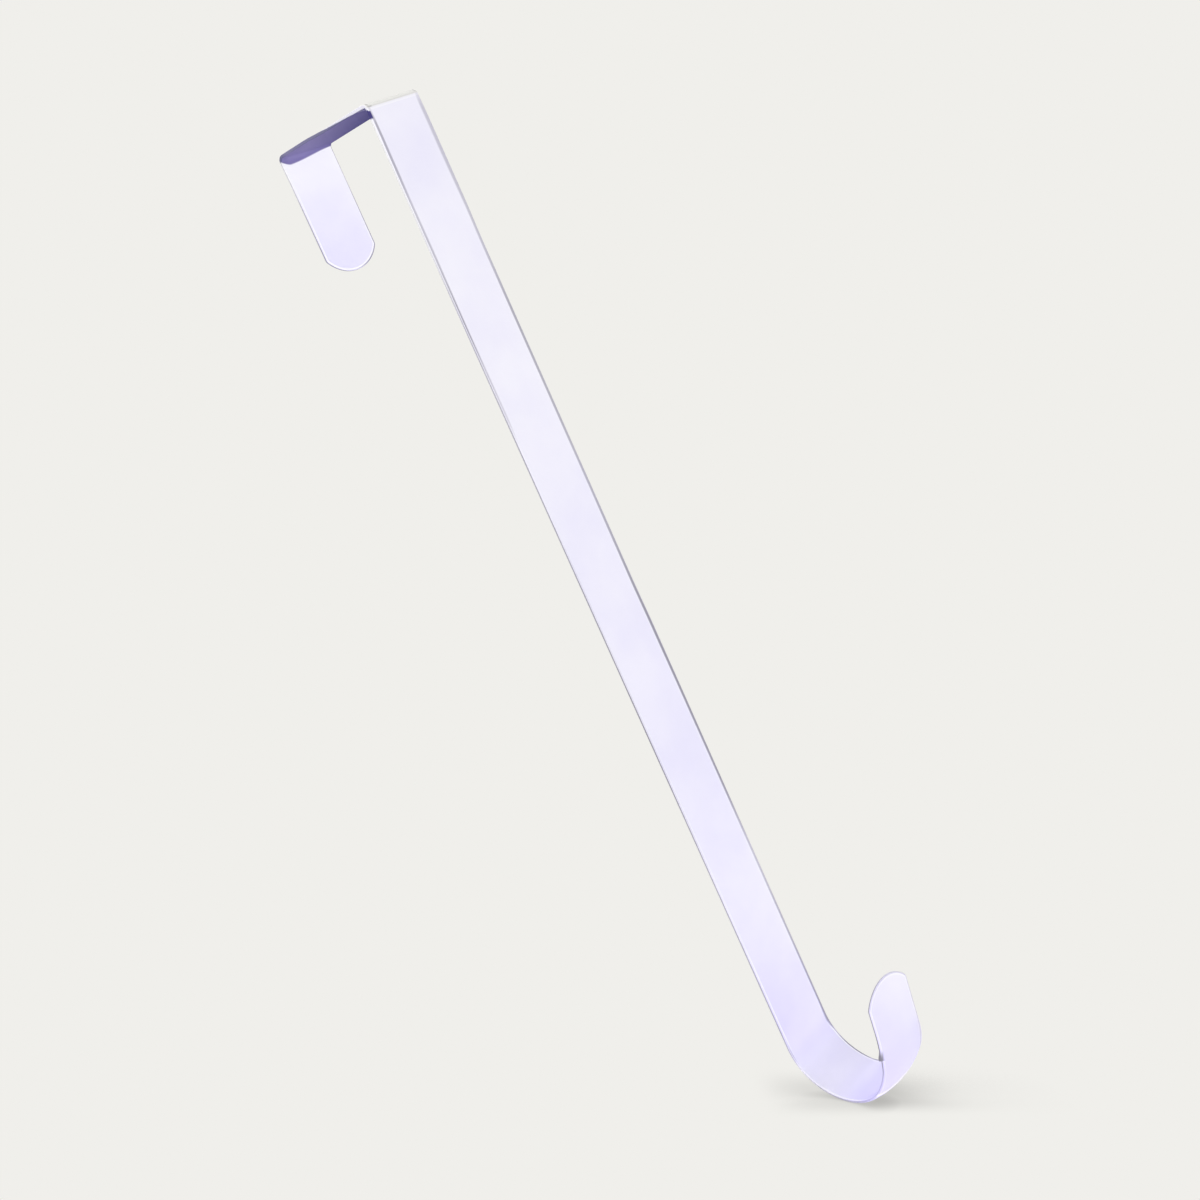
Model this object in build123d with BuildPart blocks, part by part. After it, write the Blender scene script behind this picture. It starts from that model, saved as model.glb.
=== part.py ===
"""Over-the-door wreath hanger: a flat metal strip folded into a saddle, a short tab, a long stem and a hook.

The origin is the middle of the saddle's underside, where it sits on the door's top edge.
+Z is up, the stem and hook stand on the -Y side of the door, the tab on its +Y side.
"""

import os
from math import sqrt

from build123d import *

# Flat strip
strip_width = 23.5
sheet_thickness = 1.0
edge_radius = 0.2

# Rounded ends of the strip
end_arc_radius = 14.3
end_corner_radius = 2.0

# Saddle and tab that straddle the door
door_gap = 51.0
tab_drop = 44.0
back_bend_radius = 2.0
front_bend_radius = 1.0

# Stem and hook
hook_drop = 358.0
hook_inner_radius = 20.8
hook_turn = 171.4
tip_length = 25.3

# Places worked out from the sizes above
half_gap = door_gap / 2
half_width = strip_width / 2
end_rise = end_arc_radius - sqrt(end_arc_radius**2 - half_width**2)
end_depth = end_rise + end_corner_radius
hook_outer_radius = hook_inner_radius + sheet_thickness
shortest_rim = 1.2 * sheet_thickness


def end_plane(point, heading):
    """Plane across the strip's end, its Y axis pointing off the end along the strip"""
    return Plane(
        origin=(0, point.X, point.Y),
        x_dir=(1, 0, 0),
        z_dir=(0, -heading.Y, heading.X),
    )


with BuildPart() as hanger_strip:
    # Side view: the face that meets the door, bend by bend, thickened away from the door
    with BuildSketch(Plane.YZ) as side_profile:
        with BuildLine() as door_face:
            tab = Line((half_gap, -tab_drop), (half_gap, -back_bend_radius))
            back_bend = JernArc(tab @ 1, tab % 1, back_bend_radius, 90)
            saddle = Line(back_bend @ 1, (front_bend_radius - half_gap, 0))
            front_bend = JernArc(saddle @ 1, saddle % 1, front_bend_radius, 90)
            stem = Line(front_bend @ 1, (-half_gap, -hook_drop))
            hook = JernArc(stem @ 1, stem % 1, hook_outer_radius, -hook_turn)
            tip = Line(hook @ 1, hook @ 1 + (hook % 1) * tip_length)
            offset(amount=sheet_thickness, side=Side.RIGHT)
        make_face()
    extrude(amount=half_width, both=True)

    # Each end is sheared to a shallow arc across the width, with its two corners eased
    tab_end = end_plane(tab @ 0, -(tab % 0))
    tip_end = end_plane(tip @ 1, tip % 1)
    for plane in (tab_end, tip_end):
        with BuildSketch(plane) as end_waste:
            Rectangle(2 * strip_width, 2 * end_depth)
            with BuildSketch(mode=Mode.PRIVATE) as end_shape:
                Rectangle(strip_width, 2 * end_depth)
                with Locations((0, -end_arc_radius)):
                    Circle(end_arc_radius, mode=Mode.INTERSECT)
                fillet(end_shape.vertices().group_by(Axis.Y)[-1], end_corner_radius)
            add(end_shape.sketch, mode=Mode.SUBTRACT)
        extrude(amount=2 * sheet_thickness, both=True, mode=Mode.SUBTRACT)

    # The rims of both faces are softened all the way round
    rims = hanger_strip.edges().filter_by(Axis.X, reverse=True)
    fillet(rims.filter_by(lambda rim: rim.length > shortest_rim), edge_radius)

hanger_strip.part.label = "hanger_strip"

os.makedirs("parts", exist_ok=True)
export_step(hanger_strip.part, "parts/hanger_strip.step")
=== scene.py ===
"""Over-the-door wreath hanger: one enamelled metal strip folded into a saddle, a tab, a stem and a J hook.

Lengths are in metres. The origin is the middle of the saddle's underside, +Z is up, the stem and the hook
stand on the -Y side of the door and the tab on its +Y side.
"""

import logging
import math
from dataclasses import astuple, dataclass
from enum import Enum
from typing import Any, Mapping, Sequence

import bmesh
import bpy
from mathutils import Matrix, Vector


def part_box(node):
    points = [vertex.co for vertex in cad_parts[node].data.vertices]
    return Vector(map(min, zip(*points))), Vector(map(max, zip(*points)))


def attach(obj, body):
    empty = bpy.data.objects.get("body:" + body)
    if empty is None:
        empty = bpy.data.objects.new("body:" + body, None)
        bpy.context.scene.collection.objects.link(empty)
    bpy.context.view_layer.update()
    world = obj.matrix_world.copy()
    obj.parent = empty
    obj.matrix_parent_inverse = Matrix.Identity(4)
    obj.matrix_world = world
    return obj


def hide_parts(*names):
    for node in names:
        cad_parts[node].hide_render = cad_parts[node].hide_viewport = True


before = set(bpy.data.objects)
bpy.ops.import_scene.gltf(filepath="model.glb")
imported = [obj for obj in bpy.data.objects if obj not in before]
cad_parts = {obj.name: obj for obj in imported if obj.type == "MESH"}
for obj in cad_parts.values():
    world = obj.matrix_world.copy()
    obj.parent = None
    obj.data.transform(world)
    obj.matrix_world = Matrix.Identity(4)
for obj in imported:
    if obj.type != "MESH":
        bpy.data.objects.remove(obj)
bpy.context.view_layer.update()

MM = 0.001
NODE = "hanger_strip"
BODY = "root"

Colour = tuple[float, float, float]

log = logging.getLogger("wreath_hanger")


class Turn(Enum):
    """Side of the flat strip that ends up inside a fold."""

    TOWARDS_DOOR = 1
    AWAY_FROM_DOOR = -1


class Way(Enum):
    """Way along the strip in which a fold is met, seen from the middle of the saddle."""

    TO_HOOK = 1
    TO_TAB = -1


class Value:
    """A number on a socket. Python's arithmetic on it adds Math nodes to its sheet."""

    def __init__(self, sheet: "NodeSheet", socket: bpy.types.NodeSocket) -> None:
        """Wraps a socket.

        Args:
            sheet: The sheet that the new nodes go on.
            socket: The output socket that carries the number.
        """
        self.sheet = sheet
        self.socket = socket

    def _math(self, operation: str, *operands: Any, clamp: bool = False) -> "Value":
        """Adds one Math node.

        Args:
            operation: The node's operation.
            operands: Its inputs in order, numbers or Values.
            clamp: Whether the result is held between 0 and 1.

        Returns:
            The node's result.
        """
        settings = {"operation": operation, "use_clamp": clamp}
        node = self.sheet.node("ShaderNodeMath", settings, dict(enumerate(operands)))
        return Value(self.sheet, node.outputs[0])

    def __add__(self, other: Any) -> "Value":
        """Sum."""
        return self._math("ADD", self, other)

    __radd__ = __add__

    def __sub__(self, other: Any) -> "Value":
        """Difference."""
        return self._math("SUBTRACT", self, other)

    def __rsub__(self, other: Any) -> "Value":
        """Difference from a plain number."""
        return self._math("SUBTRACT", other, self)

    def __mul__(self, other: Any) -> "Value":
        """Product."""
        return self._math("MULTIPLY", self, other)

    __rmul__ = __mul__

    def __truediv__(self, other: Any) -> "Value":
        """Quotient."""
        return self._math("DIVIDE", self, other)

    def __rtruediv__(self, other: Any) -> "Value":
        """Quotient of a plain number."""
        return self._math("DIVIDE", other, self)

    def __neg__(self) -> "Value":
        """Opposite."""
        return self._math("MULTIPLY", self, -1.0)

    def least(self, other: Any) -> "Value":
        """The smaller of the two."""
        return self._math("MINIMUM", self, other)

    def most(self, other: Any) -> "Value":
        """The larger of the two."""
        return self._math("MAXIMUM", self, other)

    def sine(self) -> "Value":
        """Sine of an angle in radians."""
        return self._math("SINE", self)

    def cosine(self) -> "Value":
        """Cosine of an angle in radians."""
        return self._math("COSINE", self)

    def size(self) -> "Value":
        """Absolute value."""
        return self._math("ABSOLUTE", self)

    def along(self, course: Sequence[tuple[float, float]]) -> "Value":
        """Reads a course of (place, amount) pairs at this value.

        Args:
            course: The pairs, in order of place.

        Returns:
            The amount, which eases from each pair to the next.
        """
        first, last = course[0][0], course[-1][0]
        stops = [((place - first) / (last - first), amount) for place, amount in course]
        share = (self - first) / (last - first)
        ramp = self.sheet.node("ShaderNodeValToRGB", {"stops": stops}, {"Fac": share})
        return Value(self.sheet, ramp.outputs["Color"])

    def levelled(self, cap: Any) -> "Value":
        """This value, levelling off smoothly towards a cap."""
        return cap * self._math("TANH", self / cap)

    def held(self) -> "Value":
        """This value held between 0 and 1."""
        return self._math("ADD", self, 0.0, clamp=True)

    def ramp(self, low: Any, high: Any) -> "Value":
        """Smooth step.

        Args:
            low: Where the step starts, at 0.
            high: Where the step ends, at 1.

        Returns:
            A value that rises smoothly from 0 to 1.
        """
        settings = {"interpolation_type": "SMOOTHSTEP", "clamp": True}
        inputs = {"Value": self, "From Min": low, "From Max": high}
        node = self.sheet.node("ShaderNodeMapRange", settings, inputs)
        return Value(self.sheet, node.outputs["Result"])

    def band(self, low: Any, high: Any, soft: float) -> "Value":
        """Band between two places.

        Args:
            low: Middle of the rising flank.
            high: Middle of the falling flank.
            soft: Half of each flank's width.

        Returns:
            A value that is 1 inside the band and fades to 0 outside it.
        """
        return self.ramp(low - soft, low + soft) * (1 - self.ramp(high - soft, high + soft))


class NodeSheet:
    """A node tree to which nodes are added by one method."""

    def __init__(self, tree: bpy.types.NodeTree) -> None:
        """Takes a tree and empties it.

        Args:
            tree: The tree to fill.
        """
        self.tree = tree
        tree.nodes.clear()

    def node(
        self,
        kind: str,
        settings: Mapping[str, Any] | None = None,
        inputs: Mapping[str | int, Any] | None = None,
    ) -> bpy.types.Node:
        """Adds a node.

        Args:
            kind: The node's type.
            settings: Its properties, set first. "stops" is a colour ramp's list of (place, value) pairs.
            inputs: Values or links for its input sockets, by name or number.

        Returns:
            The new node.
        """
        node = self.tree.nodes.new(kind)
        for name, setting in (settings or {}).items():
            if name == "stops":
                self._set_stops(node.color_ramp, setting)
            else:
                setattr(node, name, setting)
        for name, given in (inputs or {}).items():
            self._feed(node.inputs[name], given)
        return node

    def value(self, kind: str, output: str, *rest: Any) -> Value:
        """Adds a node and wraps one of its outputs.

        Args:
            kind: The node's type.
            output: Name of the output to wrap.
            rest: The settings and inputs of node().

        Returns:
            The output as a Value.
        """
        return Value(self, self.node(kind, *rest).outputs[output])

    def blend(self, factor: Any, first: Any, second: Any) -> bpy.types.NodeSocket:
        """Mixes two colours.

        Args:
            factor: Share of the second colour, from 0 to 1.
            first: The colour at 0, plain or linked.
            second: The colour at 1, plain or linked.

        Returns:
            The mixed colour.
        """
        inputs = {0: factor, 6: first, 7: second}
        return self.node("ShaderNodeMix", {"data_type": "RGBA"}, inputs).outputs[2]

    def _feed(self, socket: bpy.types.NodeSocket, given: Any) -> None:
        """Links or sets one input socket.

        Args:
            socket: The input.
            given: A Value, an output socket, a colour of three numbers or a plain setting.
        """
        if isinstance(given, Value):
            given = given.socket
        if isinstance(given, bpy.types.NodeSocket):
            self.tree.links.new(given, socket)
        elif socket.type == "RGBA" and len(given) == 3:
            socket.default_value = (*given, 1.0)
        else:
            socket.default_value = given

    @staticmethod
    def _set_stops(ramp: bpy.types.ColorRamp, stops: Sequence[tuple[float, float]]) -> None:
        """Gives a ramp grey stops.

        Args:
            ramp: The ramp.
            stops: (place, value) pairs in order.
        """
        ramp.interpolation = "EASE"
        while len(ramp.elements) < len(stops):
            ramp.elements.new(1.0)
        for element, (place, value) in zip(ramp.elements, stops, strict=True):
            element.position = place
            element.color = (value, value, value, 1.0)


Course = tuple[tuple[float, float], ...]


@dataclass(frozen=True)
class Trim:
    """How one long edge of the strip looks along its run, as courses of (run in mm, amount).

    Wall is the grey painted on the sheared wall and line the grey of a line on the face, which runs inset mm
    in from the outline and reaches half_width mm to each side; both greys are painted shade. The last course
    is the pale beading inside that line, a painted highlight.
    """

    wall: Course
    line: Course
    inset: Course
    half_width: Course
    bead_highlight: Course


# Painted shade and painted highlight along the near edge, as courses; FAR_TRIM gives the far edge's.
NEAR_TRIM = Trim(
    wall=(
        (-68, 1.00), (-60, 0.90), (-53, 0.85), (-45, 0.70), (-37, 0.55), (-29, 0.48), (24, 0.05),
        (45, 0.10), (75, 0.25), (95, 0.55), (115, 0.70), (165, 0.85), (225, 1.00), (255, 1.10), (315, 0.85),
        (378, 0.82), (387, 0.60), (392, 0.30), (398, 0.65), (404, 0.80), (412, 0.95), (418, 0.72),
        (428, 0.32), (438, 0.45), (445, 1.20), (449, 1.90), (453, 1.90), (458, 1.10), (473, 1.00),
    ),
    line=(
        (-68, 0.00), (27, 0.30), (31, 0.82), (45, 0.78), (60, 0.60), (75, 0.65), (105, 1.00), (120, 0.60),
        (135, 0.45), (150, 0.00), (170, 0.10), (195, 0.35), (290, 0.35), (330, 0.00), (378, 0.00),
        (386, 0.65), (391, 0.00), (473, 0.00),
    ),
    inset=((-68, 0.0), (24, 0.85), (36, 0.85), (45, 0.70), (60, 0.35), (75, 0.30), (105, 0.00), (473, 0.00)),
    half_width=(
        (-68, 0.12), (-26, 0.12), (24, 0.55), (45, 0.62), (60, 0.78), (75, 0.80), (105, 0.75), (135, 0.90),
        (150, 0.40), (195, 0.40), (300, 0.40), (370, 0.30), (386, 0.50), (395, 0.15), (473, 0.15),
    ),
    bead_highlight=(
        (-68, 1.00), (-58, 1.00), (-45, 0.90), (-30, 0.80), (30, 0.00), (90, 0.10), (165, 0.10),
        (225, 0.00), (260, 0.25), (300, 0.40), (340, 0.30), (352, 0.70), (376, 0.70), (386, 0.10),
        (400, 0.20), (405, 0.90), (415, 0.90), (423, 0.60), (430, 0.10), (444, 0.10), (450, 0.30),
        (456, 0.40), (473, 0.50),
    ),
)
FAR_TRIM = Trim(
    wall=(
        (-68, 1.20), (-55, 1.00), (10, 0.90), (18, 0.00), (29, 0.00), (36, 0.90), (385, 0.60), (398, 1.20),
        (408, 1.10), (413, 1.20), (425, 0.15), (473, 0.20),
    ),
    line=(
        (-68, 1.20), (-60, 1.05), (-45, 1.00), (-37, 0.75), (-29, 0.95), (20, 0.05), (25, 0.20), (31, 0.55),
        (75, 0.60), (105, 0.85), (135, 0.80), (165, 0.75), (225, 1.05), (285, 1.00), (315, 0.60),
        (350, 0.80), (386, 1.00), (392, 0.60), (397, 1.30), (404, 1.30), (409, 0.70), (411, 0.80),
        (413, 1.50), (415, 1.50), (425, 0.10), (434, 0.80), (443, 0.60), (448, 0.35), (454, 0.45),
        (470, 0.40), (473, 0.20),
    ),
    inset=(
        (-68, 0.0), (-20, 0.0), (30, 0.68), (45, 0.68), (75, 0.50), (105, 0.65), (165, 0.60), (225, 0.80),
        (255, 0.60), (285, 0.50), (375, 0.45), (386, 0.22), (391, 0.10), (408, 0.15), (425, 0.00),
        (434, 2.00), (438, 1.80), (443, 1.30), (453, 0.35), (473, 0.30),
    ),
    half_width=(
        (-68, 0.55), (-56, 0.50), (-45, 0.45), (-29, 0.40), (22, 0.40), (30, 1.05), (45, 1.05), (75, 0.85),
        (105, 0.70), (340, 0.70), (376, 0.65), (386, 1.15), (391, 0.45), (410, 0.45), (412, 0.60),
        (415, 0.60), (425, 0.20), (432, 0.26), (455, 0.26), (473, 0.20),
    ),
    bead_highlight=(
        (-68, 1.00), (-58, 0.80), (-50, 0.40), (20, 0.20), (45, 0.10), (100, 0.30), (290, 0.40),
        (345, 0.30), (382, 0.20), (386, 0.00), (391, 1.00), (408, 0.60), (414, 0.20), (448, 0.20),
        (456, 0.60), (473, 0.40),
    ),
)

# Cloudiness along the run in mm, partly the enamel's own mottling and partly painted shade, and how much of
# it each 10 mm across takes off, a painted shade slant
CLOUDINESS_AND_SHADE = (
    (-68, 0.70), (-45, 0.40), (-34, 0.15), (-30, 0.00), (25, 0.30), (45, 0.40), (75, 0.28), (105, 0.30),
    (135, 0.28), (165, 0.40), (195, 0.37), (225, 0.42), (255, 0.52), (285, 0.54), (315, 0.50), (345, 0.58),
    (375, 0.90), (386, 0.86), (394, 0.47), (404, 0.40), (410, 0.60), (418, 1.07), (428, 1.35), (440, 1.05),
    (455, 0.75), (473, 0.65),
)
SHADE_SLANT = (
    (-68, 0.10), (-28, 0.05), (25, 0.00), (300, 0.00), (345, 0.08), (375, 0.14), (390, 0.00), (415, 0.00),
    (425, 0.25), (445, 0.25), (473, 0.15),
)

# Height in mm up to which the painted violet shade under the saddle reaches, and how far in from the near
# edge it starts, in shares of 12 mm
SADDLE_SHADE_TOP = (
    (-26, 1.30), (-2, 1.25), (0, 1.10), (4, 0.80), (8, 0.63), (12, 0.42), (16, 0.27), (20, 0.15),
    (23.5, 0.22), (24.2, 0.30), (24.9, 0.45), (25.5, 0.60), (26, 0.75), (28, 0.80),
)
SADDLE_SHADE_START = ((-26, 0.0), (15, 0.0), (20, 0.05), (24, 0.20), (26, 0.45))


@dataclass(frozen=True)
class Enamel:
    """Pale lavender enamel on sheet steel, grey and beaded along the edges, deep violet under the saddle.

    The grey and the deep violet are painted shade, the pale beads and glints are painted highlights, paler
    paint over the front bend stands for light, and the cloudiness is partly painted shade.
    """

    body: Colour = (0.955, 0.945, 0.990)
    # Cloudy tone, partly the enamel's mottling and partly painted shade.
    cloud_and_shade: Colour = (0.600, 0.565, 0.905)
    # Painted shade: grey of the lines along the edges and at the front bend.
    edge_shade: Colour = (0.220, 0.210, 0.260)
    # Painted highlight: the pale beading inside the edge lines, and the glints round the bends.
    bead_highlight: Colour = (0.985, 0.980, 1.000)
    # Painted light: paler, warmer paint over the front bend.
    bend_light: Colour = (1.000, 0.990, 0.955)
    # Painted shade: the violet under the saddle, and the deepest of it.
    saddle_shade: Colour = (0.226, 0.198, 0.408)
    saddle_shade_deep: Colour = (0.000, 0.000, 0.118)
    roughness: float = 0.42
    shine: float = 0.08
    cloud_and_shade_weight: float = 0.72
    cloud_waves: float = 0.035
    peel_waves: float = 0.9
    peel_depth: float = 0.05 * MM

    def material(self) -> bpy.types.Material:
        """Builds the enamel's material.

        Returns:
            The material, which reads the attributes run, across, edge and height of the strip.
        """
        material = bpy.data.materials.new("lavender_enamel")
        material.use_nodes = True
        sheet = NodeSheet(material.node_tree)
        names = ("run", "across", "edge", "height")
        run, across, edge, height = (self._millimetres(sheet, name) for name in names)
        place = sheet.node("ShaderNodeCombineXYZ", None, {"X": across, "Y": run, "Z": 0.0}).outputs[0]
        clouds_and_shade = self._clouds_and_shade(sheet, place, across, run)
        line, bead_highlight = self._trim(across, edge, height, run)
        under, deep = self._saddle_shade(across, edge, height, run)
        # Partly painted shade: the cloudy tone over the body colour.
        colour = sheet.blend(clouds_and_shade, self.body, self.cloud_and_shade)
        crease_shade, pale, bend_light = self._bends(across, edge, height, run)
        # Painted light: paler, warmer paint over the front bend.
        colour = sheet.blend(bend_light, colour, self.bend_light)
        # Painted highlights: the pale beading and the glints round the bends.
        colour = sheet.blend(bead_highlight.most(pale), colour, self.bead_highlight)
        # Painted shade: the grey edge lines and the shade line at the front bend.
        colour = sheet.blend(line.most(crease_shade), colour, self.edge_shade)
        # Painted shade: the violet under the saddle lies over all the rest.
        colour = sheet.blend(under, colour, sheet.blend(deep, self.saddle_shade, self.saddle_shade_deep))
        rough = self.roughness + 0.08 * clouds_and_shade + 0.15 * line + 0.4 * under
        peel = self._noise(sheet, place, self.peel_waves, 2.0)
        relief = {"Strength": 0.08, "Distance": self.peel_depth, "Height": peel}
        bump = sheet.node("ShaderNodeBump", None, relief)
        shader = sheet.node(
            "ShaderNodeBsdfPrincipled",
            None,
            {
                "Base Color": colour,
                "Roughness": rough,
                "Specular IOR Level": self.shine,
                "Normal": bump.outputs[0],
            },
        )
        sheet.node("ShaderNodeOutputMaterial", None, {"Surface": shader.outputs[0]})
        return material

    @staticmethod
    def _millimetres(sheet: NodeSheet, name: str) -> Value:
        """Reads one of the strip's attributes, in millimetres."""
        return sheet.value("ShaderNodeAttribute", "Fac", {"attribute_name": name}) / MM

    @staticmethod
    def _noise(sheet: NodeSheet, place: bpy.types.NodeSocket, waves: float, detail: float) -> Value:
        """Adds noise on the strip's own surface.

        Args:
            sheet: The material's sheet.
            place: Place across and along the strip, in millimetres.
            waves: Waves for each millimetre.
            detail: Octaves of finer noise.

        Returns:
            The noise, from 0 to 1.
        """
        inputs = {"Vector": place, "Scale": waves, "Detail": detail}
        return sheet.value("ShaderNodeTexNoise", "Fac", None, inputs)

    def _clouds_and_shade(self, sheet: NodeSheet, place: bpy.types.NodeSocket, across: Value, run: Value) -> Value:
        """Soft cloudiness of the enamel, partly its own mottling and partly painted shade.

        Args:
            sheet: The material's sheet.
            place: Place across and along the strip, in millimetres.
            across: Place across the strip, in millimetres.
            run: Run along the strip, in millimetres.

        Returns:
            Share of the cloudy colour, partly painted shade, from 0 to 1.
        """
        drift = self._noise(sheet, place, self.cloud_waves, 3.0).ramp(0.3, 0.7)
        # Painted shade as well as mottling: the course along the run and its slant across; the noise is
        # random tone.
        course = run.along(CLOUDINESS_AND_SHADE) - run.along(SHADE_SLANT) * across / 10
        return (self.cloud_and_shade_weight * course + 0.12 * (drift - 0.5)).held()

    @staticmethod
    def _bends(across: Value, edge: Value, height: Value, run: Value) -> tuple[Value, Value, Value]:
        """Painted light and shade: a shade line and paler paint for light on the front bend, and highlights
        round the bends.

        The painted highlights are glints on the front bend, the hook's outside, the tab's root and the stem's
        near wall below the front bend.

        Args:
            across: Place across the strip, in millimetres.
            edge: Distance in from the strip's outline, in millimetres.
            height: Height off the door side, in millimetres.
            run: Run along the strip, in millimetres.

        Returns:
            Strength of the painted shade line, of the painted highlights and of the painted light, from 0 to
            1.
        """
        front = height.ramp(0.8, 0.9)
        # Painted shade: a grey line along the front bend, darker at the near corner.
        crease_shade = (0.25 + 0.35 * across.band(-11.3, -9.5, 0.5)) * run.band(25.65, 25.9, 0.12) * front
        # Painted light over the front bend, lifting the bend's shading.
        bend_light = run.band(23.5, 25.95, 0.15) * front
        # Painted highlights: glints on the front bend and on the hook's outside, down the stem's near wall
        # and over the tab's root.
        bend = 0.5 * run.band(26.1, 26.6, 0.12) * front
        outside = (1 - height.ramp(0.2, 0.4)) * (1 - 0.5 * across.ramp(-2.0, 6.0))
        hook = 0.5 * run.band(428.5, 430.4 + 4.1 * across.ramp(-11.0, 2.0), 0.8) * outside
        near_wall = (1 - edge.ramp(0.02, 0.15)) * (1 - across.ramp(-1.0, 1.0))
        stem = 0.8 * near_wall * run.ramp(26.0, 27.0) * (1 - run.ramp(60.0, 100.0))
        tab_root = 0.6 * run.ramp(-41.0, -29.0) * (1 - run.ramp(-26.0, -24.0))
        return crease_shade, bend.most(hook).most(stem).most(tab_root), bend_light

    @staticmethod
    def _trim(across: Value, edge: Value, height: Value, run: Value) -> tuple[Value, Value]:
        """Painted shade in a grey line on the sheared edge and over the drip at the hook's end, and a pale
        painted highlight inside the line.

        Args:
            across: Place across the strip, in millimetres.
            edge: Distance in from the strip's outline, in millimetres.
            height: Height off the door side, in millimetres.
            run: Run along the strip, in millimetres.

        Returns:
            Strength of the painted shade and of the painted highlight, from 0 to 1.
        """
        far = across.ramp(-8.0, 8.0)
        curled = run.ramp(420.0, 432.0)
        on_tab = 1 - run.ramp(-30.0, -26.0)
        near = 1 - far
        courses = zip(astuple(NEAR_TRIM), astuple(FAR_TRIM), strict=True)
        mixed = (near * run.along(first) + far * run.along(second) for first, second in courses)
        wall, line, inset, half_width, bead_highlight = mixed
        face = edge.ramp(0.02, 0.15)
        mark = 1 - (edge - inset).size().ramp(half_width * 0.4, half_width * 1.3)
        # Painted shadow: the drip at the hook's end is painted dark all over.
        drip = run.ramp(447.2, 448.4) * (1 - run.ramp(448.9, 452.0)) * near
        front_rim = (curled * height.ramp(0.35, 0.65)).most(drip) + on_tab * height.ramp(0.1, 0.35)
        side = wall * (front_rim + (1 - curled - on_tab) * (1 - height.ramp(0.6, 1.0)))
        # Painted shade: grey on the walls and in a line on the face.
        grey = 0.8 * ((1 - face) * side + face * mark * line)
        within = edge - inset - half_width
        # Painted highlight: the pale line just inside the grey.
        inner = face * within.ramp(0.0, 0.2) * (1 - within.ramp(0.25, 0.75))
        # The drip's dark paint, a painted shadow, also reaches a little way onto the face beside it.
        return grey.most(drip * (1 - edge.ramp(0.5, 1.2))), inner * bead_highlight

    @staticmethod
    def _saddle_shade(across: Value, edge: Value, height: Value, run: Value) -> tuple[Value, Value]:
        """Deep violet painted shade under the saddle, from bend to bend, and the little that spills round the
        front bend.

        Args:
            across: Place across the strip, in millimetres.
            edge: Distance in from the strip's outline, in millimetres.
            height: Height off the door side, in millimetres.
            run: Run along the strip, in millimetres.

        Returns:
            Where the painted violet shade is, and how much deeper it is, from 0 to 1.
        """
        bulge = 1.8 * across.ramp(-13.0, -8.0) * (1 - across.ramp(-9.0, 13.0))
        back = -25.6 - bulge
        reached = run.ramp(back - 0.3, back + 0.3) * (1 - run.ramp(26.2, 26.8))
        top = run.along(SADDLE_SHADE_TOP)
        start = 12 * run.along(SADDLE_SHADE_START) - 12
        inside = across.ramp(start - 0.6, start + 0.6)
        outer_face = height.ramp(0.9, 1.0) * edge.ramp(0.15, 0.3)
        under = (1 - height.ramp(top - 0.2, top)) * (1 - outer_face) * reached * inside
        rise = 0.55 + 0.7 * run.ramp(25.8, 28.0)
        below_rise = 1 - height.ramp(rise, rise + 0.2)
        spill = (1 - across.ramp(-11.2, -10.7)) * below_rise * run.band(26.3, 29.5, 0.4)
        corner = run.ramp(20.5, 24.5) * (1 - across.ramp(-6.0, 2.0))
        rim = height.ramp(0.1, 0.4).most(1 - edge.ramp(0.15, 0.4))
        near_back = (1 - run.ramp(-25.5, -21.0)) * (1 - across.ramp(-11.0, -6.0))
        ends = 0.15 * run.ramp(14.0, 20.0) + 0.2 * run.ramp(22.5, 25.0) + 0.5 * near_back + 0.9 * rim
        # Painted shade: the violet deepens towards +X and towards the front bend, at the ends and rims, and
        # in the near corner.
        deep = 0.82 * (across / 30 + run / 60 + 0.46 + ends) + 0.8 * corner
        return under.most(spill), deep.held() * (1 - 0.3 * run.ramp(25.0, 26.2))


@dataclass(frozen=True)
class Fold:
    """One fold of the flat strip."""

    turn: Turn
    way: Way

    def add(
        self, sheet: NodeSheet, geometry: bpy.types.NodeSocket, start: Value, radius: Value, angle: Any
    ) -> bpy.types.NodeSocket:
        """Folds what lies beyond the start of the fold.

        Args:
            sheet: The geometry tree's sheet.
            geometry: The strip before this fold.
            start: Distance from the middle of the saddle to the fold, along the strip.
            radius: Radius of the strip's door side in the fold.
            angle: Angle of the fold in radians, plain or a Value.

        Returns:
            The strip after this fold.
        """
        place = sheet.node("GeometryNodeInputPosition").outputs[0]
        parts = sheet.node("ShaderNodeSeparateXYZ", None, {0: place})
        across, along, height = (Value(sheet, socket) for socket in parts.outputs)
        side = self.turn.value
        reach = along * -self.way.value
        past = (reach - start).most(0.0)
        turned = (past / radius).least(angle)
        beyond = (past - radius * angle).most(0.0)
        swing = radius + height * side
        reach_after = reach.least(start) + swing * turned.sine() + beyond * turned.cosine()
        height_after = (swing * turned.cosine() - radius - beyond * turned.sine()) * side
        after = {"X": across, "Y": reach_after * -self.way.value, "Z": height_after}
        folded = sheet.node("ShaderNodeCombineXYZ", None, after).outputs[0]
        inputs = {"Geometry": geometry, "Position": folded}
        return sheet.node("GeometryNodeSetPosition", None, inputs).outputs[0]


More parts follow.
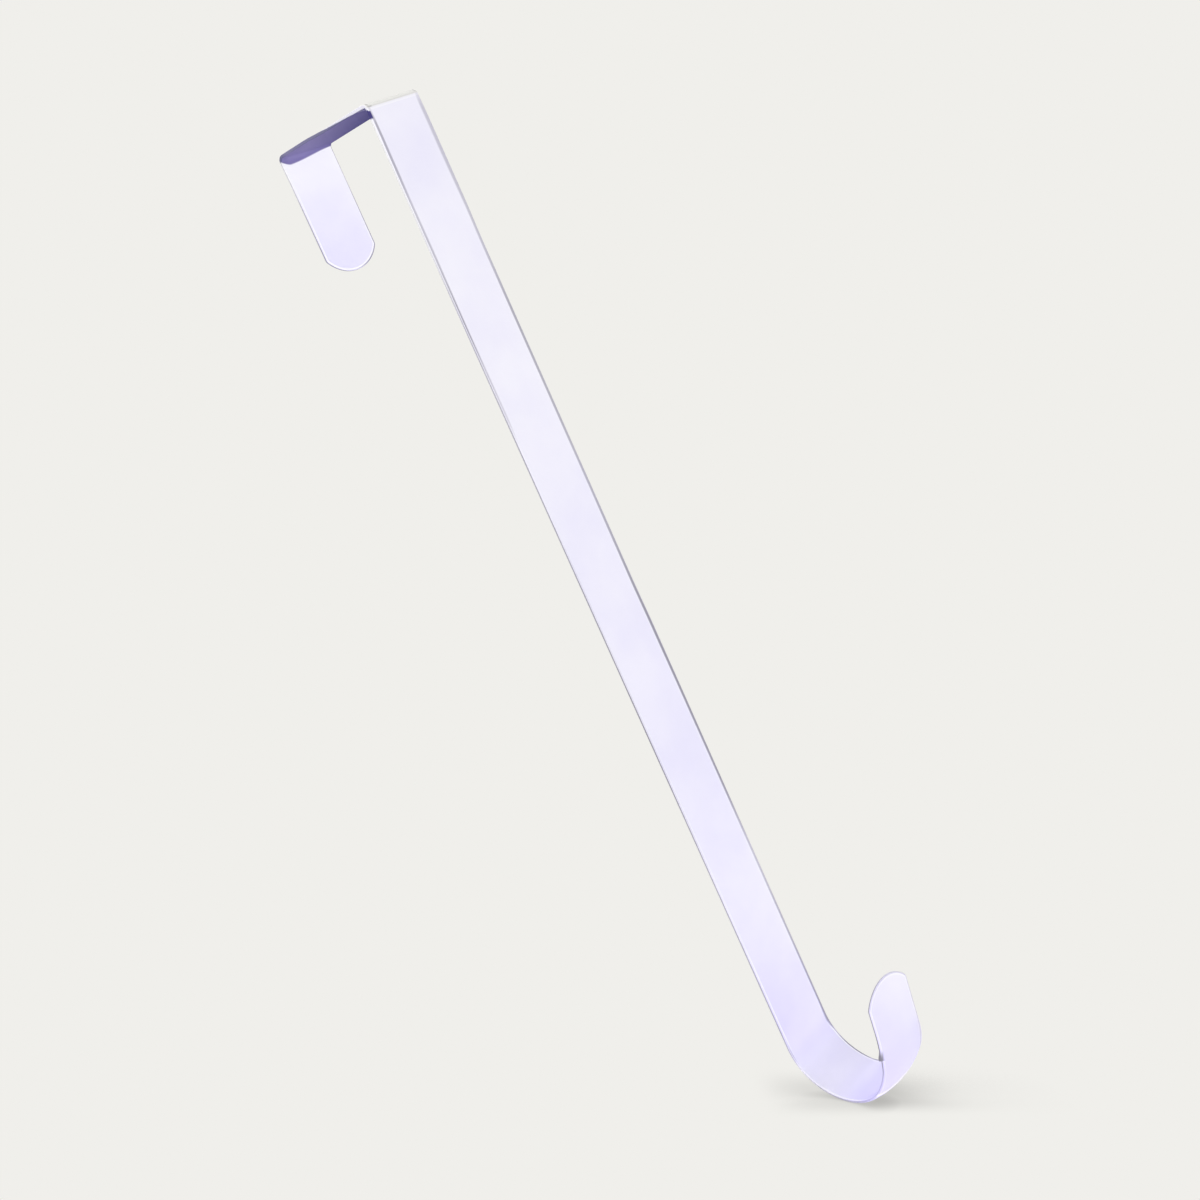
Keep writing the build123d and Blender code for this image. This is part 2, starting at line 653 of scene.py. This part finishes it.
@dataclass
class HangerStrip:
    """The strip: its sizes as a flat blank, where it is folded, and the small dents and the drip on it."""

    width: float
    thickness: float
    door_gap: float
    hook_drop: float
    tab_drop: float = 44.0 * MM
    back_bend_radius: float = 1.3 * MM
    front_bend_radius: float = 1.0 * MM
    hook_inner_radius: float = 20.8 * MM
    hook_turn: float = math.radians(171.4)
    tip_length: float = 25.3 * MM
    tip_crown: float = 1.9 * MM
    tip_tuck: float = 0.8 * MM
    saddle_lift: float = 0.45 * MM
    far_flare: float = 0.3 * MM
    far_cup: float = 0.9 * MM
    # The drip is a small bump; the dark paint on it is a painted shadow.
    edge_drip: float = 1.3 * MM
    end_arc_radius: float = 14.3 * MM
    end_corner_radius: float = 2.0 * MM
    rim_radius: float = 0.22 * MM
    merge_distance: float = 0.0005 * MM
    enamel: Enamel = Enamel()

    @classmethod
    def from_frame(cls) -> "HangerStrip":
        """Takes the sizes that show in the solid's box from the frame."""
        low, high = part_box(NODE)
        thickness = high.z
        hook_radius = cls.hook_inner_radius + thickness
        return cls(
            width=high.x - low.x,
            thickness=thickness,
            door_gap=2 * (high.y - thickness),
            hook_drop=-low.z - hook_radius,
        )

    @property
    def hook_radius(self) -> float:
        """Radius of the hook's outside, which is the door side of the strip."""
        return self.hook_inner_radius + self.thickness

    @property
    def tab_run(self) -> tuple[float, float, float]:
        """Runs to the back bend's start, its end and the tab's end, from the middle of the saddle."""
        start = self.door_gap / 2 - self.back_bend_radius
        end = start + self.back_bend_radius * math.pi / 2
        return start, end, end + self.tab_drop - self.back_bend_radius

    @property
    def hook_run(self) -> tuple[float, float, float, float, float]:
        """Runs to the front bend's start and end, the hook's start and end, and the tip's end."""
        start = self.door_gap / 2 - self.front_bend_radius
        end = start + self.front_bend_radius * math.pi / 2
        hook_start = end + self.hook_drop - self.front_bend_radius
        hook_end = hook_start + self.hook_radius * self.hook_turn
        return start, end, hook_start, hook_end, hook_end + self.tip_length

    @property
    def span(self) -> tuple[float, float]:
        """First and last run of the flat blank."""
        return -self.tab_run[-1], self.hook_run[-1]

    def _end_outline(self, end: float, outward: int) -> list[tuple[Vector, Vector]]:
        """Outline of one rounded end, from its middle to its side.

        Args:
            end: Run of the end's middle.
            outward: Way off the end along the run, 1 or -1.

        Returns:
            Points on the outline and the outward direction at each, both as (across, run).
        """
        half = self.width / 2
        arc_centre, corner_centre = self._end_centres(end, outward)
        meet = math.asin((half - self.end_corner_radius) / (self.end_arc_radius - self.end_corner_radius))
        outline = []
        arc_steps, corner_steps = 22, 8
        for step in range(arc_steps + 1):
            angle = meet * step / arc_steps
            heading = Vector((math.sin(angle), outward * math.cos(angle)))
            outline.append((arc_centre + self.end_arc_radius * heading, heading))
        for step in range(1, corner_steps + 1):
            angle = meet + (math.pi / 2 - meet) * step / corner_steps
            heading = Vector((math.sin(angle), outward * math.cos(angle)))
            outline.append((corner_centre + self.end_corner_radius * heading, heading))
        return outline

    def _end_centres(self, end: float, outward: int) -> tuple[Vector, Vector]:
        """Centres of an end's arc and of its eased corner, as (across, run)."""
        corner_across = self.width / 2 - self.end_corner_radius
        reach = self.end_arc_radius - self.end_corner_radius
        arc_centre = Vector((0.0, end - outward * self.end_arc_radius))
        rise = math.sqrt(reach**2 - corner_across**2)
        return arc_centre, arc_centre + Vector((corner_across, outward * rise))

    def _outline(self) -> list[tuple[Vector, Vector]]:
        """Half outline of the blank on its +X side, from the tab's end to the tip's end."""
        tab_end = self._end_outline(self.span[0], -1)
        tip_end = self._end_outline(self.span[1], 1)[::-1]
        back_start, back_end, _ = self.tab_run
        front_start, front_end, hook_start, hook_end, _ = self.hook_run
        marks = [
            (tab_end[-1][0].y, -back_end, 10),
            (-back_end, -back_start, 14),
            (-back_start, front_start, 14),
            (front_start, front_end, 12),
            (front_end, hook_start, 90),
            (hook_start, hook_end, 120),
            (hook_end, tip_end[0][0].y, 36),
        ]
        sides = []
        for low, high, steps in marks:
            sides += [low + (high - low) * step / steps for step in range(steps)]
        outward = Vector((1.0, 0.0))
        half = self.width / 2
        middle = [(Vector((half, run)), outward) for run in sides[1:]]
        return tab_end + middle + tip_end

    def _half_section(self) -> list[tuple[float, float]]:
        """Half of the blank's section, from the middle of the front to the middle of the door side.

        Returns:
            (distance in from the outline, height off the door side) pairs.
        """
        lanes = [8.0 * MM, 5.0 * MM, 3.0 * MM, 2.0 * MM, 1.3 * MM, 0.9 * MM, 0.6 * MM, 0.4 * MM, 0.28 * MM]
        flat = [self.width / 2, *lanes]
        front = [(inset, self.thickness) for inset in flat]
        arc_steps = 5
        rim = []
        for step in range(arc_steps + 1):
            angle = math.pi / 2 * step / arc_steps
            inset = self.rim_radius * (1 - math.sin(angle))
            rim.append((inset, self.thickness - self.rim_radius * (1 - math.cos(angle))))
        upper = front + rim
        return upper + [(inset, self.thickness - height) for inset, height in upper[::-1]]

    def _edge_distance(self, across: float, run: float) -> float:
        """Distance in from the blank's outline.

        Args:
            across: Place across the strip.
            run: Place along the strip.

        Returns:
            The distance to the nearest point of the outline.
        """
        aside = abs(across)
        distance = self.width / 2 - aside
        for end, outward in zip(self.span, (-1, 1), strict=True):
            arc_centre, corner_centre = self._end_centres(end, outward)
            off = (run - arc_centre.y) * outward
            if off > 0:
                distance = min(distance, self.end_arc_radius - math.hypot(aside, off))
            past = (run - corner_centre.y) * outward
            outside = aside - corner_centre.x
            if past > 0 and outside * abs(corner_centre.y - arc_centre.y) > past * corner_centre.x:
                distance = min(distance, self.end_corner_radius - math.hypot(outside, past))
        return max(distance, 0.0)

    def blank(self) -> bpy.types.Mesh:
        """Builds the flat blank, sheared to its outline, with softened rims.

        Returns:
            A closed mesh in the plane of the saddle, the run along -Y, with the attribute edge.
        """
        section = self._half_section()
        inner_half = self.width / 2 - self.rim_radius
        flat = bmesh.new()
        rings = []
        for point, heading in self._outline():
            rim_line = point - heading * self.rim_radius
            half_ring = []
            for inset, height in section:
                if inset <= self.rim_radius:
                    place = point - heading * inset
                else:
                    share = 1 - (inset - self.rim_radius) / inner_half
                    place = Vector((rim_line.x * share, rim_line.y))
                half_ring.append((place.x, -place.y, height))
            other_half = [(-x, y, z) for x, y, z in half_ring[-2:0:-1]]
            rings.append([flat.verts.new(corner) for corner in half_ring + other_half])
        for ring, following in zip(rings, rings[1:]):
            for index, corner in enumerate(ring):
                before = index - 1
                flat.faces.new((ring[before], corner, following[index], following[before]))
        bmesh.ops.remove_doubles(flat, verts=flat.verts, dist=self.merge_distance)
        bmesh.ops.dissolve_degenerate(flat, edges=flat.edges, dist=self.merge_distance)
        bmesh.ops.recalc_face_normals(flat, faces=flat.faces)
        mesh = bpy.data.meshes.new("strip_blank")
        flat.to_mesh(mesh)
        flat.free()
        edge = mesh.attributes.new("edge", "FLOAT", "POINT")
        distances = [self._edge_distance(v.co.x, -v.co.y) for v in mesh.vertices]
        edge.data.foreach_set("value", distances)
        return mesh

    def _sizes(self) -> dict[str, float]:
        """This strip's sizes, under the names of the fold tree's inputs."""
        return {
            "Door Gap": self.door_gap,
            "Back Bend Radius": self.back_bend_radius,
            "Front Bend Radius": self.front_bend_radius,
            "Hook Drop": self.hook_drop,
            "Hook Radius": self.hook_radius,
            "Hook Turn": self.hook_turn,
            "Tip Length": self.tip_length,
            "Tip Crown": self.tip_crown,
            "Tip Tuck": self.tip_tuck,
            "Saddle Lift": self.saddle_lift,
            "Far Flare": self.far_flare,
            "Far Cup": self.far_cup,
            "Edge Drip": self.edge_drip,
            "Half Width": self.width / 2,
        }

    @staticmethod
    def _dents(
        across: Value, run: Value, hook_start: Value, hook_end: Value, sizes: Mapping[str, Value]
    ) -> tuple[Value, Value]:
        """Small dents of the strip, and the drip on the near edge at the hook's end.

        Args:
            across: Place across the strip.
            run: Run along the strip.
            hook_start: Run to the hook's start.
            hook_end: Run to the hook's end.
            sizes: The tree's inputs by name.

        Returns:
            How far a point moves across the flat strip, and how far off it.
        """
        share = across / sizes["Half Width"]
        beside = 0.5 - 0.5 * share
        near_side = beside * beside
        far_side = (1 - beside) * (1 - beside)
        arc = sizes["Hook Radius"] * sizes["Hook Turn"]
        crown_start, crown_top = hook_start + 0.35 * arc, hook_start + 0.7 * arc
        tip_end = hook_end + sizes["Tip Length"]
        crown = run.ramp(crown_start, crown_top) * (1 - run.ramp(crown_top, tip_end))
        belly = sizes["Tip Crown"] * (1 - share * share) * crown
        tuck = run.band(hook_end - 17 * MM, hook_end + 3 * MM, 7 * MM)
        lift = run.band(-28 * MM, -4 * MM, 6 * MM)
        cup = run.band(hook_start + 29.5 * MM, hook_start + 38 * MM, 3.2 * MM)
        raised = near_side * (sizes["Tip Tuck"] * tuck + sizes["Saddle Lift"] * lift)
        stem = run.band(28 * MM, 72 * MM, 8 * MM) + run.band(215 * MM, hook_start + 30 * MM, 10 * MM)
        flare = sizes["Far Flare"] * share.ramp(0.0, 1.0) * stem
        drip_top = run.ramp(hook_end - 1.1 * MM, hook_end + 0.1 * MM)
        drip_tail = run.ramp(hook_end + 0.4 * MM, hook_end + 3.4 * MM)
        drip = sizes["Edge Drip"] * beside.ramp(0.92, 1.0) * drip_top * (1 - drip_tail)
        return flare - drip, raised + sizes["Far Cup"] * far_side * cup - belly

    def fold_tree(self) -> bpy.types.NodeTree:
        """Builds the tree that folds the blank.

        Returns:
            The tree, whose inputs are the sizes by name and the finish.
        """
        tree = bpy.data.node_groups.new("fold_strip", "GeometryNodeTree")
        sheet = NodeSheet(tree)
        names = self._sizes()
        tree.interface.new_socket("Geometry", in_out="INPUT", socket_type="NodeSocketGeometry")
        for name in names:
            tree.interface.new_socket(name, in_out="INPUT", socket_type="NodeSocketFloat")
        tree.interface.new_socket("Finish", in_out="INPUT", socket_type="NodeSocketMaterial")
        tree.interface.new_socket("Geometry", in_out="OUTPUT", socket_type="NodeSocketGeometry")
        given = sheet.node("NodeGroupInput").outputs
        sizes = {name: Value(sheet, given[name]) for name in names}
        gap, drop = sizes["Door Gap"], sizes["Hook Drop"]
        back, front = sizes["Back Bend Radius"], sizes["Front Bend Radius"]
        hook, turn = sizes["Hook Radius"], sizes["Hook Turn"]
        place = sheet.node("GeometryNodeInputPosition").outputs[0]
        flat = sheet.node("ShaderNodeSeparateXYZ", None, {0: place}).outputs
        across, run, height = Value(sheet, flat[0]), -Value(sheet, flat[1]), Value(sheet, flat[2])
        strip = given["Geometry"]
        for name, number in (("across", across), ("run", run), ("height", height)):
            strip = self._keep(sheet, strip, name, number)
        square = math.pi / 2
        back_start, front_start = gap / 2 - back, gap / 2 - front
        hook_start = front_start + front * square + drop - front
        aside, off = self._dents(across, run, hook_start, hook_start + hook * turn, sizes)
        moved = sheet.node("ShaderNodeCombineXYZ", None, {"X": aside, "Z": off}).outputs[0]
        strip = sheet.node("GeometryNodeSetPosition", None, {"Geometry": strip, "Offset": moved}).outputs[0]
        strip = Fold(Turn.AWAY_FROM_DOOR, Way.TO_HOOK).add(sheet, strip, hook_start, hook, turn)
        strip = Fold(Turn.TOWARDS_DOOR, Way.TO_HOOK).add(sheet, strip, front_start, front, square)
        strip = Fold(Turn.TOWARDS_DOOR, Way.TO_TAB).add(sheet, strip, back_start, back, square)
        strip = sheet.node("GeometryNodeSetShadeSmooth", None, {0: strip}).outputs[0]
        strip = sheet.node("GeometryNodeRealizeInstances", None, {0: strip}).outputs[0]
        dressed = {"Geometry": strip, "Material": given["Finish"]}
        strip = sheet.node("GeometryNodeSetMaterial", None, dressed).outputs[0]
        sheet.node("NodeGroupOutput", None, {0: strip})
        return tree

    @staticmethod
    def _keep(
        sheet: NodeSheet, strip: bpy.types.NodeSocket, name: str, number: Value
    ) -> bpy.types.NodeSocket:
        """Keeps a number on the strip's points under a name."""
        inputs = {"Geometry": strip, "Name": name, "Value": number}
        settings = {"data_type": "FLOAT", "domain": "POINT"}
        return sheet.node("GeometryNodeStoreNamedAttribute", settings, inputs).outputs[0]

    def build(self) -> bpy.types.Object:
        """Folds and finishes the strip.

        Returns:
            The finished piece, a plain mesh that rides on its body.
        """
        tree = self.fold_tree()
        settings = {**self._sizes(), "Finish": self.enamel.material()}
        blank = bpy.data.objects.new("strip_blank", self.blank())
        bpy.context.scene.collection.objects.link(blank)
        modifier = blank.modifiers.new("fold", "NODES")
        modifier.node_group = tree
        for item in tree.interface.items_tree:
            if item.in_out == "INPUT" and item.name in settings:
                modifier[item.identifier] = settings[item.name]
        depsgraph = bpy.context.evaluated_depsgraph_get()
        mesh = bpy.data.meshes.new_from_object(blank.evaluated_get(depsgraph))
        blank.modifiers.remove(modifier)
        bpy.data.objects.remove(blank)
        mesh.name = "enamelled_strip"
        piece = bpy.data.objects.new("enamelled_strip", mesh)
        bpy.context.scene.collection.objects.link(piece)
        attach(piece, BODY)
        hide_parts(NODE)
        log.info("%s: %d faces", piece.name, len(mesh.polygons))
        return piece


@dataclass(frozen=True)
class Lamp:
    """A distant soft lamp of the studio."""

    name: str
    azimuth: float
    elevation: float
    strength: float
    colour: Colour = (1.0, 1.0, 1.0)
    spread: float = 30.0
    shadow: bool = False

    def build(self) -> bpy.types.Object:
        """Hangs the lamp.

        Returns:
            The lamp, which shines from its azimuth and elevation onto the origin.
        """
        light = bpy.data.lights.new(self.name, "SUN")
        light.energy = self.strength * math.pi
        light.color = self.colour
        light.angle = math.radians(self.spread)
        light.use_shadow = self.shadow
        lamp = bpy.data.objects.new(self.name, light)
        lamp.rotation_mode = "QUATERNION"
        lamp.rotation_quaternion = heading(self.azimuth, self.elevation).to_track_quat("Z", "Y")
        bpy.context.scene.collection.objects.link(lamp)
        log.info("%s: strength %.2f", self.name, self.strength)
        return lamp


@dataclass(frozen=True)
class PhotoCamera:
    """Where the photograph was taken from. The camera leans, so that the hanger stands aslant."""

    aim: tuple[float, float, float] = (0.45 * MM, -18.75 * MM, -182.85 * MM)
    azimuth: float = -42.21
    elevation: float = 9.75
    lean: float = -24.10
    distance: float = 625.7 * MM
    lens: float = 53.56
    sensor: float = 36.0

    def axes(self) -> tuple[Vector, Vector, Vector]:
        """Right, up and back of the picture."""
        back = heading(self.azimuth, self.elevation)
        level = Vector((0.0, 0.0, 1.0)).cross(back).normalized()
        upright = back.cross(level)
        lean = math.radians(self.lean)
        right = math.cos(lean) * level + math.sin(lean) * upright
        return right, back.cross(right), back

    def build(self) -> bpy.types.Object:
        """Sets up the camera.

        Returns:
            The scene's camera.
        """
        right, up, back = self.axes()
        camera = bpy.data.objects.new("camera", bpy.data.cameras.new("camera"))
        camera.data.lens = self.lens
        camera.data.sensor_width = self.sensor
        turned = Matrix((right, up, back)).transposed().to_4x4()
        camera.matrix_world = Matrix.Translation(Vector(self.aim) + back * self.distance) @ turned
        bpy.context.scene.collection.objects.link(camera)
        bpy.context.scene.camera = camera
        log.info("camera: azimuth %.1f, elevation %.1f", self.azimuth, self.elevation)
        return camera


@dataclass
class Studio:
    """Pale floor, level across the photograph, in soft light.

    Each of the shadow's four bounds is the pair of places, in millimetres from the foot, between which the
    shadow fades.
    """

    camera: PhotoCamera
    backdrop: Colour = (0.871, 0.863, 0.831)
    air: Colour = (0.45, 0.45, 0.45)
    floor_colour: Colour = (0.84, 0.83, 0.80)
    shadow: Colour = (0.0, 0.0, 0.0)
    shadow_reach: float = 60.0 * MM
    contact_reach: float = 7.0 * MM
    contact_strength: float = 0.22
    shadow_front: tuple[float, float] = (-2.0, 18.0)
    shadow_back: tuple[float, float] = (15.0, 50.0)
    shadow_left: tuple[float, float] = (-33.0, -17.0)
    shadow_right: tuple[float, float] = (32.0, 48.0)
    floor_radius: float = 300.0 * MM

    def build(self, piece: bpy.types.Object) -> None:
        """Lays the floor under the hook and lights the scene.

        Args:
            piece: The piece that stands nearest to the floor.
        """
        self._world()
        self._floor(piece)
        for lamp in (
            Lamp("key_lamp", -40.0, -20.0, 0.76),
            Lamp("top_lamp", 180.0, 60.0, 0.60),
            Lamp("back_lamp", 180.0, 10.0, 0.35, shadow=True),
        ):
            lamp.build()

    def _world(self) -> None:
        """Even soft light from all round, and the pale backdrop to the camera."""
        world = bpy.data.worlds.new("studio")
        bpy.context.scene.world = world
        world.use_nodes = True
        sheet = NodeSheet(world.node_tree)
        colour = sheet.blend(self._shown(sheet), self.air, self.backdrop)
        background = sheet.node("ShaderNodeBackground", None, {"Color": colour})
        sheet.node("ShaderNodeOutputWorld", None, {"Surface": background.outputs[0]})

    @staticmethod
    def _shown(sheet: NodeSheet) -> Value:
        """1 for rays that show the backdrop: straight from the camera, mirrored or let through."""
        rays = sheet.node("ShaderNodeLightPath").outputs
        kinds = ("Is Camera Ray", "Is Glossy Ray", "Is Transmission Ray")
        camera, mirrored, through = (Value(sheet, rays[kind]) for kind in kinds)
        return (camera + mirrored + through).held()

    def _floor(self, piece: bpy.types.Object) -> None:
        """Lays a round floor that touches the hook and fades into the backdrop.

        Args:
            piece: The piece that touches the floor.
        """
        _, up, _ = self.camera.axes()
        foot = min((v.co for v in piece.data.vertices), key=up.dot)
        disc = bmesh.new()
        bmesh.ops.create_circle(disc, cap_ends=True, radius=self.floor_radius, segments=96)
        place = Matrix.Translation(foot) @ up.to_track_quat("Z", "Y").to_matrix().to_4x4()
        disc.transform(place)
        mesh = bpy.data.meshes.new("floor")
        disc.to_mesh(mesh)
        disc.free()
        mesh.materials.append(self._floor_material(foot))
        floor = bpy.data.objects.new("floor", mesh)
        bpy.context.scene.collection.objects.link(floor)
        log.info("floor: foot at %.1f, %.1f, %.1f mm", *(foot / MM))

    @staticmethod
    def _offset(sheet: NodeSheet, place: bpy.types.NodeSocket, foot: Vector, way: Vector) -> Value:
        """Millimetres from the foot to a place on the floor, measured along one way."""
        inputs = {0: place, 1: tuple(way)}
        reached = sheet.value("ShaderNodeVectorMath", "Value", {"operation": "DOT_PRODUCT"}, inputs)
        return (reached - way.dot(foot)) / MM

    @staticmethod
    def _hidden(sheet: NodeSheet, reach: float) -> Value:
        """Share of the sky that the object hides from a place on the floor."""
        return 1 - sheet.value("ShaderNodeAmbientOcclusion", "AO", {"samples": 16}, {"Distance": reach})

    def _shade(self, sheet: NodeSheet, place: bpy.types.NodeSocket, foot: Vector) -> Value:
        """Shadow of the hanger on the floor, deepest behind the foot and to its right.

        Args:
            sheet: The floor material's sheet.
            place: Place on the floor.
            foot: Where the hook touches the floor.

        Returns:
            Share of the shadow's colour, from 0 to 1.
        """
        right, _, near = self.camera.axes()
        beside = self._offset(sheet, place, foot, right)
        ahead = self._offset(sheet, place, foot, near)
        front = ahead - 4 + 4 * beside.ramp(2.0, 12.0)
        back = -ahead - 14 * beside.ramp(2.0, 20.0)
        depth = (1 - front.ramp(*self.shadow_front)) * (1 - back.ramp(*self.shadow_back))
        kept = depth * beside.ramp(*self.shadow_left) * (1 - 0.2 * beside.ramp(*self.shadow_right))
        cap = 0.14 + 0.04 * beside.ramp(-20.0, -12.0) + 0.20 * beside.ramp(2.0, 16.0)
        boost = 1 + beside.ramp(2.0, 14.0) * (1.7 * (-ahead).ramp(2.0, 30.0) - 0.25)
        soft = (boost * self._hidden(sheet, self.shadow_reach)).levelled(cap)
        return kept * soft + self.contact_strength * self._hidden(sheet, self.contact_reach)

    def _floor_material(self, foot: Vector) -> bpy.types.Material:
        """Pale floor that takes the shadow and fades out away from the foot.

        Args:
            foot: Where the hook touches the floor.

        Returns:
            The floor's material.
        """
        material = bpy.data.materials.new("pale_floor")
        material.use_nodes = True
        sheet = NodeSheet(material.node_tree)
        place = sheet.node("ShaderNodeTexCoord").outputs["Object"]
        inputs = {0: place, 1: tuple(foot)}
        away = sheet.value("ShaderNodeVectorMath", "Value", {"operation": "DISTANCE"}, inputs)
        behind = sheet.value("ShaderNodeNewGeometry", "Backfacing")
        gone = (away.ramp(0.4 * self.floor_radius, 0.95 * self.floor_radius) + behind).held()
        shaded = sheet.blend(self._shade(sheet, place, foot), self.backdrop, self.shadow)
        lit = sheet.node("ShaderNodeBsdfDiffuse", None, {"Color": self.floor_colour}).outputs[0]
        seen = sheet.node("ShaderNodeEmission", None, {"Color": shaded}).outputs[0]
        clear = sheet.node("ShaderNodeBsdfTransparent").outputs[0]
        pale = sheet.node("ShaderNodeMixShader", None, {0: self._shown(sheet), 1: lit, 2: seen}).outputs[0]
        surface = sheet.node("ShaderNodeMixShader", None, {0: gone, 1: pale, 2: clear})
        sheet.node("ShaderNodeOutputMaterial", None, {"Surface": surface.outputs[0]})
        return material


def heading(azimuth: float, elevation: float) -> Vector:
    """Direction out from the hanger.

    Args:
        azimuth: Angle about Z in degrees, 0 at -Y and 90 at +X.
        elevation: Angle above the horizon in degrees.

    Returns:
        The unit vector.
    """
    turn, rise = math.radians(azimuth), math.radians(elevation)
    return Vector((math.sin(turn) * math.cos(rise), -math.cos(turn) * math.cos(rise), math.sin(rise)))


def main() -> None:
    """Builds the hanger, the studio round it and the camera."""
    logging.basicConfig(level=logging.INFO, format="%(name)s: %(message)s")
    bpy.context.scene.view_settings.view_transform = "Standard"
    camera = PhotoCamera()
    camera.build()
    piece = HangerStrip.from_frame().build()
    Studio(camera).build(piece)


if __name__ == "__main__":
    main()
